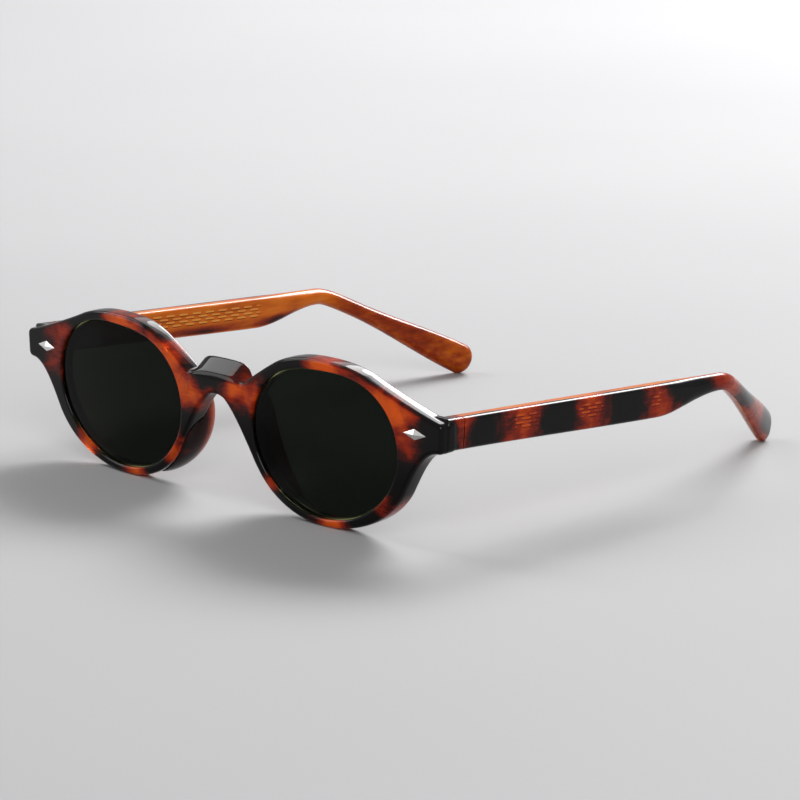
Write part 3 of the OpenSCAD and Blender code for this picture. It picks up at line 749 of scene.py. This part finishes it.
def lens_material():
    """Dark grey-green, with a paler bevel where the lens is thin and its edge takes in light."""
    n = Nodes("smoke_lens")
    place = n.place()
    smears = n.noise(place, 45, 3, 0.6, 1.2)
    tint = n.ramp(n.noise(place, 12, 2), LENS_TONES)
    bevel = n.ramp(n.value("edge"), [(0.0, (0, 0, 0)), (1.0, LENS_EDGE)])
    color = n.node("VectorMath", {0: tint, 1: bevel}, operation="MAXIMUM").outputs[0]
    n.set(Base_Color=color, Transmission_Weight=0.92, IOR=LENS_IOR,
          Roughness=n.math("ADD", 0.012, n.math("MULTIPLY", smears, 0.02)))
    return n.material


def metal_material(name, color, rough, brush):
    """Metal with fine lines, whose closeness along each axis brush gives, and a little wear."""
    n = Nodes(name)
    place = n.place()
    lines = n.noise(n.stretched(place, *brush), 1, 3, 0.6)
    wear = n.noise(place, 700, 2)
    tone = n.ramp(n.math("ADD", n.math("MULTIPLY", lines, 0.6), n.math("MULTIPLY", wear, 0.4)),
                  [(0.25, tuple(c * 0.82 for c in color)), (0.75, color)])
    n.set(Base_Color=tone, Metallic=1.0,
          Roughness=n.math("ADD", rough, n.math("MULTIPLY", wear, 0.12)))
    n.bump(lines, 0.15, 0.00005)
    return n.material


TORTOISE = tortoise_material("tortoise_acetate", False)
TORTOISE_TEMPLE = tortoise_material("tortoise_temple_acetate", True)
HONEY = honey_material("honey_acetate", HONEY_TONES, 0.2, True)
AMBER = honey_material("amber_acetate", AMBER_TONES, 0.3, False)
SMOKE = lens_material()
CHROME = metal_material("polished_metal", (0.94, 0.93, 0.91), 0.26, (900, 900, 900))
STEEL = metal_material("hinge_steel", (0.62, 0.62, 0.64), 0.24, (300, 300, 4000))
CORE = metal_material("core_metal", (0.92, 0.86, 0.76), 0.22, (300, 4000, 300))


# ---------------------------------------------------------------- the front and its parts

SKIN_STEP = 0.25 if FINE else 0.5


def build_front():
    low, high = [0, -0.6, -20.6], [HALF_W + 0.6, JOINT_Y + 0.9, 20.4]
    points, quads = field_mesh(front_field, low, high, SKIN_STEP, mirror=True)
    obj = make_mesh("front_acetate", from_front(points), quads,
                    values={"dark": front_dark(points)})
    assign(obj, "front", "front_frame", TORTOISE)


def build_pad(name, side):
    low, high = [5, -0.5, -20], [30, FRONT_T + 6, 8]
    points, quads = field_mesh(pad_field, low, high, SKIN_STEP * 0.8)
    faces = quads if side > 0 else quads[:, ::-1]
    obj = make_mesh(name + "_pad", from_front(points, side), faces,
                    values={"dark": pad_dark(points)})
    assign(obj, "front", name + "_nose_pad", AMBER)


def build_lens(name, side):
    """A lens with both faces crowned alike and a bevelled edge."""
    steps, inset, land = 144, 0.35, 0.2
    a = np.arange(steps) * 360 / steps
    shares = [0.04] + [k / 16 for k in range(1, 16)] + [0.985, 1]
    front, back = GROOVE_Y - LENS_T / 2, GROOVE_Y + LENS_T / 2

    def ring(depth, out, share):
        """Points at a share of the way from the middle to a line that far out of the opening."""
        p = mix(np.array([EYE_X, 0]), eye(a) + eye_out(a) * out, share)
        y = depth + form(p[:, 0]) - LENS_CROWN * (1 - share * share)
        return np.stack([p[:, 0], y, p[:, 1]], -1)

    rings = [ring(front, -inset, share) for share in shares]
    rings.append(ring(front + land, -LENS_FIT, 1))
    rings.append(ring(GROOVE_Y, GROOVE_D - LENS_FIT, 1))
    rings.append(ring(back - land, -LENS_FIT, 1))
    rings += [ring(back, -inset, share) for share in shares[::-1]]
    face_edge = [0.0] * len(shares)
    edge = np.repeat(face_edge + [1.0] * 3 + face_edge, steps)
    points, faces = tube(rings, flip=side < 0)
    obj = make_mesh(name + "_lens_tinted", from_front(points, side), faces, sharp=25,
                    values={"edge": edge})
    assign(obj, "front", name + "_lens", SMOKE)


# ---------------------------------------------------------------- the temples

# The tip's radius, where its rounding starts, and how high its middle rests over the table
TIP_R = TIP_H / 2
TIP_Y = TEMPLE_L - TIP_R * TIP_CAP * 1.1
TIP_REST = TIP_R * math.hypot(math.cos(math.radians(TIP_FALL)),
                              TIP_CAP * math.sin(math.radians(TIP_FALL)))
# The tip's place in the hinge's frame, which leans by DROP
DROP = math.radians(PANTOSCOPIC - STANCE)
TIP_Z = (TIP_REST - HINGE[2] + TIP_Y * math.sin(DROP)) / math.cos(DROP)
# The face between the two layers, and the core's middle
LAYER_X = TEMPLE_T / 2 - OUTER_T
CORE_X = LAYER_X - 0.35 - CORE_T / 2


def hyper(u, k):
    """From 0 to 1 along a hyperbola, whose bend is the tighter the smaller k is."""
    return (np.sqrt(u * u + k * k) - k) / (math.sqrt(1 + k * k) - k)


def temple_mid(y):
    """The temple's middle line in the hinge's frame."""
    y = np.asarray(y, float)
    u = np.maximum(0, (y - NECK_Y) / (TIP_Y - NECK_Y))
    rise = (NECK_RISE * smooth((y - BELLY_Y) / (NECK_Y - BELLY_Y))
            + ROOT_UP * (1 - smooth(y / BELLY_Y)))
    return np.stack([AXIS_IN + TEMPLE_T / 2 - TIP_IN * hyper(u, TURN_IN), y,
                     rise + (TIP_Z - NECK_RISE) * hyper(u, BEND)], -1)


def blade_h(y):
    """The temple's height: growing to the belly, down to the neck and up again to the tip."""
    blade = mix(ROOT_H, BELLY_H, smooth(y / BELLY_Y))
    waist = mix(BELLY_H, NECK_H, smooth((y - BELLY_Y) / (NECK_Y - BELLY_Y)))
    tip = mix(NECK_H, TIP_H, smooth((y - NECK_Y) / (TIP_Y - NECK_Y) * 1.4 - 0.4))
    return np.where(y < BELLY_Y, blade, np.where(y < NECK_Y, waist, tip))


def temple_axes(y):
    """Middle, along, outward and up at a place on the temple's line."""
    y = min(y, TIP_Y)
    d = temple_mid(y) - temple_mid(y - 0.5)
    along = np.array([0, 1.0, 0]) if y < 1 else d / np.linalg.norm(d)
    out = np.cross(along, [0, 0, 1.0])
    out /= np.linalg.norm(out)
    return temple_mid(y), along, out, np.cross(out, along)


def edge_round(y):
    """How far the section's edges are rounded."""
    return mix(TEMPLE_R, TIP_ROUND, smooth((y - BELLY_Y) / (NECK_Y - BELLY_Y)))


def temple_stops():
    """The sections from the joint round to the tip's end.

    Each has its middle, outward, up, height, shares of height and thickness, and place.
    """
    places = np.concatenate([np.linspace(JOINT_GAP / 2, BELLY_Y - 5, 40, endpoint=False),
                             np.linspace(BELLY_Y - 5, TIP_Y, 70)])
    stops = []
    for y in places:
        mid, _, out, up = temple_axes(y)
        stops.append((mid, out, up, float(blade_h(y)), 1.0, 1.0, y))
    mid, along, out, up = temple_axes(TIP_Y)
    cap = TIP_R * TIP_CAP
    for b in np.linspace(0, 88, 18)[1:]:
        reach = cap * float(sin(b))
        end = max(0.0, 1 - (cap - reach) / (TEMPLE_T / 2))
        stops.append((mid + along * reach, out, up, TIP_H, float(cos(b)),
                      math.sqrt(1 - end * end), TIP_Y + reach))
    return stops


def half_section(height, start, end, r):
    """One layer's section, from the face between the layers to its own face, as (x, z) pairs."""
    h, s = height / 2, np.sign(end)
    across = min(r, 0.95 * abs(end - start))
    down = min(1.5 * r - 0.5 * TEMPLE_R, 0.9 * h)
    a = np.linspace(0, 90, 8)
    arc = np.stack([end - s * across * (1 - sin(a)), h - down * (1 - cos(a))], -1)
    spine = np.stack([np.full(3, end), np.array([0.4, 0, -0.4]) * (h - down)], -1)
    top = np.array([[start, h], [mix(start, end - s * across, 0.5), h]])
    half = np.vstack([top, arc])
    return np.vstack([half, spine, (half * [1, -1])[::-1]])


def layer_rings(start, end):
    """A layer's sections, with how far along and how far up each of their points lies."""
    rings, along, up = [], [], []
    for mid, out, rise, height, tall, thick, y in temple_stops():
        section = half_section(height, start, end, edge_round(y))
        ring = mid + out * section[:, :1] * thick + rise * section[:, 1:] * tall
        rings.append(ring)
        along.append(np.full(len(ring), y))
        up.append(section[:, 1])
    return rings, np.concatenate(along), np.concatenate(up)


def build_temple(name, side):
    """The two layers: tortoiseshell outside, honey inside."""
    body = name + "_temple"
    rings, along, up = layer_rings(LAYER_X, TEMPLE_T / 2)
    points, faces = tube(rings, flip=side < 0)
    outer = make_mesh(name + "_temple_tortoise", from_hinge(points, side), faces, sharp=38,
                      values={"dark": temple_dark(along, up, name), "along": along, "up": up})
    assign(outer, body, name + "_temple_outer", TORTOISE_TEMPLE)
    rings, along, up = layer_rings(LAYER_X - LAYER_GAP, -TEMPLE_T / 2)
    points, faces = tube(rings, flip=side > 0)
    inner = make_mesh(name + "_temple_honey", from_hinge(points, side), faces, sharp=38,
                      values={"dark": honey_dark(along, up), "along": along, "up": up})
    assign(inner, body, name + "_temple_inner", HONEY)


def core_size(y):
    """The core's height: a flat bar to the belly, thinning to a rod before the neck."""
    thinning = smooth((y - BELLY_Y) / (NECK_Y - 4 - BELLY_Y))
    return np.where(y < BELLY_Y, CORE_H, mix(CORE_H, CORE_ROD, thinning))


def emboss(y, z):
    """Height of the pattern rolled into the flat core: staggered rows of rounded dashes."""
    height = 0
    for row in range(DASH_ROWS):
        u = (y / DASH_PITCH + row % 2 / 2) % 1 - 0.5
        v = z - (row - (DASH_ROWS - 1) / 2) * DASH_ROW
        dash = 1 - (u * DASH_PITCH / (DASH_L + 0.1)) ** 4 - (v / 0.3) ** 2
        height = height + np.clip(dash, 0, 1) ** 0.5
    return EMBOSS * height * smooth(y / 3) * smooth((BELLY_Y + 1 - y) / 3)


def build_core(name, side):
    """The wire core: an embossed flat bar to the belly, then a rod nearly to the tip."""
    step = 0.16 if FINE else 0.5
    places = np.concatenate([np.arange(JOINT_GAP / 2 + 0.5, BELLY_Y + 1, step),
                             np.linspace(BELLY_Y + 1.5, CORE_L, 60)])
    rings = []
    for y in places:
        mid, _, out, up = temple_axes(y)
        h, w = float(core_size(y)) / 2, CORE_T / 2
        z = np.linspace(-0.8, 0.8, 25 if FINE else 9) * h
        face = w - EMBOSS + emboss(y, z)
        right = np.stack([face, z], -1)
        cap = np.array([[w * 0.6, h], [-w * 0.6, h]])
        section = np.vstack([right, cap, (right * [-1, 1])[::-1], cap[::-1] * [1, -1]])
        lift = CORE_UP * (1 - float(smooth((y - BELLY_Y) / 15)))
        rings.append(mid + out * (CORE_X + section[:, :1]) + up * (section[:, 1:] + lift))
    points, faces = tube(rings, flip=side < 0)
    core = make_mesh(name + "_core", from_hinge(points, side), faces, sharp=50)
    assign(core, name + "_temple", name + "_wire_core", CORE)


# The CAD nodes that stay as they are, with their materials
METAL_PARTS = {"front_rivet": CHROME, "front_hinge": STEEL, "temple_hinge": STEEL,
               "hinge_screw": STEEL}

build_front()
for side_name, side_sign in SIDES.items():
    build_pad(side_name, side_sign)
    build_lens(side_name, side_sign)
    build_temple(side_name, side_sign)
    build_core(side_name, side_sign)
    for part, material in METAL_PARTS.items():
        node = frame["nodes"][f"{side_name}_{part}"]
        node.data.materials.clear()
        node.data.materials.append(material)


# ---------------------------------------------------------------- stage, light and camera

# Half the floor's side in metres, and its colours
FLOOR_HALF = 1.8
FLOOR_TONES = [(0.3, (0.37, 0.37, 0.375)), (0.7, (0.40, 0.40, 0.405))]
# The world's strength where it lights the scene, where it is seen itself, and its colour
AMBIENT, BACKDROP, WORLD_COLOR = 0.16, 0.62, (0.82, 0.825, 0.835, 1)
# What all lights are aimed at
LIT_AT = (0, -0.02, 0.02)
# The key light's direction, its size, and its layers: shares of the size, and watts. They stand
# one behind the other, because lights in one plane hide each other's highlights.
KEY_FROM, KEY_SIZE = (-0.24, 0.79, 0.62), (1.5, 0.9)
KEY_LAYERS = ((1.2, 8), (0.85, 14), (0.55, 15))


def build_floor():
    n = Nodes("floor")
    n.set(Base_Color=n.ramp(n.noise(n.place(), 3, 2), FLOOR_TONES), Roughness=0.75)
    mesh = bpy.data.meshes.new("floor")
    corners = [(x * FLOOR_HALF, y * FLOOR_HALF, 0) for x, y in ((-1, -1), (1, -1), (1, 1), (-1, 1))]
    mesh.from_pydata(corners, [], [(0, 1, 2, 3)])
    mesh.materials.append(n.material)
    obj = bpy.data.objects.new("floor", mesh)
    bpy.context.scene.collection.objects.link(obj)


def aim(obj, place, target, roll=0):
    """Puts a light or a camera at a place, looking at the target, rolled by some degrees."""
    back = Vector(np.array(place, float) - np.array(target, float))
    obj.location = place
    obj.rotation_mode = "QUATERNION"
    turn = Quaternion((0, 0, 1), math.radians(roll))
    obj.rotation_quaternion = back.to_track_quat("Z", "Y") @ turn


def softbox(name, direction, distance, size, power):
    """An oval area light, so many metres away from the sunglasses and of so many watts."""
    light = bpy.data.lights.new(name, "AREA")
    light.shape = "ELLIPSE"
    light.size, light.size_y = size
    light.energy = power
    obj = bpy.data.objects.new(name, light)
    bpy.context.scene.collection.objects.link(obj)
    d = np.array(direction, float)
    aim(obj, np.array(LIT_AT) + d / np.linalg.norm(d) * distance, LIT_AT)


def build_camera():
    """The photograph's camera, fitted to points of the front and of both temples."""
    azimuth, elevation, roll, distance = 44.332, 13.368, 0.401, 0.8572
    focal_px, width_px = 3696.9, 800
    target = np.array([0.019704, -0.028724, 0.020421])
    a, e = math.radians(azimuth), math.radians(elevation)
    back = np.array([math.sin(a) * math.cos(e), -math.cos(a) * math.cos(e), math.sin(e)])
    data = bpy.data.cameras.new("camera")
    data.sensor_width = 36.0
    data.lens = data.sensor_width * focal_px / width_px
    obj = bpy.data.objects.new("camera", data)
    bpy.context.scene.collection.objects.link(obj)
    aim(obj, target + back * distance, target, roll)
    bpy.context.scene.camera = obj


def build_world():
    """Soft light from all round, and a pale backdrop where it is seen, reflected or not."""
    world = bpy.data.worlds.new("world")
    world.use_nodes = True
    tree = world.node_tree
    path = tree.nodes.new("ShaderNodeLightPath")
    seen = path.outputs["Is Camera Ray"]
    for way in ("Is Glossy Ray", "Is Transmission Ray"):
        either = tree.nodes.new("ShaderNodeMath")
        either.operation = "MAXIMUM"
        tree.links.new(seen, either.inputs[0])
        tree.links.new(path.outputs[way], either.inputs[1])
        seen = either.outputs[0]
    strength = tree.nodes.new("ShaderNodeMapRange")
    strength.inputs["To Min"].default_value = AMBIENT
    strength.inputs["To Max"].default_value = BACKDROP
    tree.links.new(seen, strength.inputs["Value"])
    background = tree.nodes["Background"]
    background.inputs["Color"].default_value = WORLD_COLOR
    tree.links.new(strength.outputs[0], background.inputs["Strength"])
    return world


build_floor()
for share, watts in KEY_LAYERS:
    size = KEY_SIZE[0] * share, KEY_SIZE[1] * share
    softbox(f"key_{share:.2f}", KEY_FROM, 1.5 + 0.1 * share, size, watts)
softbox("fill", (0.75, -0.6, 0.62), 1.4, (0.8, 0.8), 9)
softbox("side", (-0.75, -0.15, 0.72), 1.3, (0.4, 0.9), 4)
softbox("spark", (-0.72, -0.62, 0.40), 1.3, (0.5, 0.7), 2.5)
build_camera()

scene = bpy.context.scene
scene.world = build_world()
scene.view_settings.view_transform = "Standard"
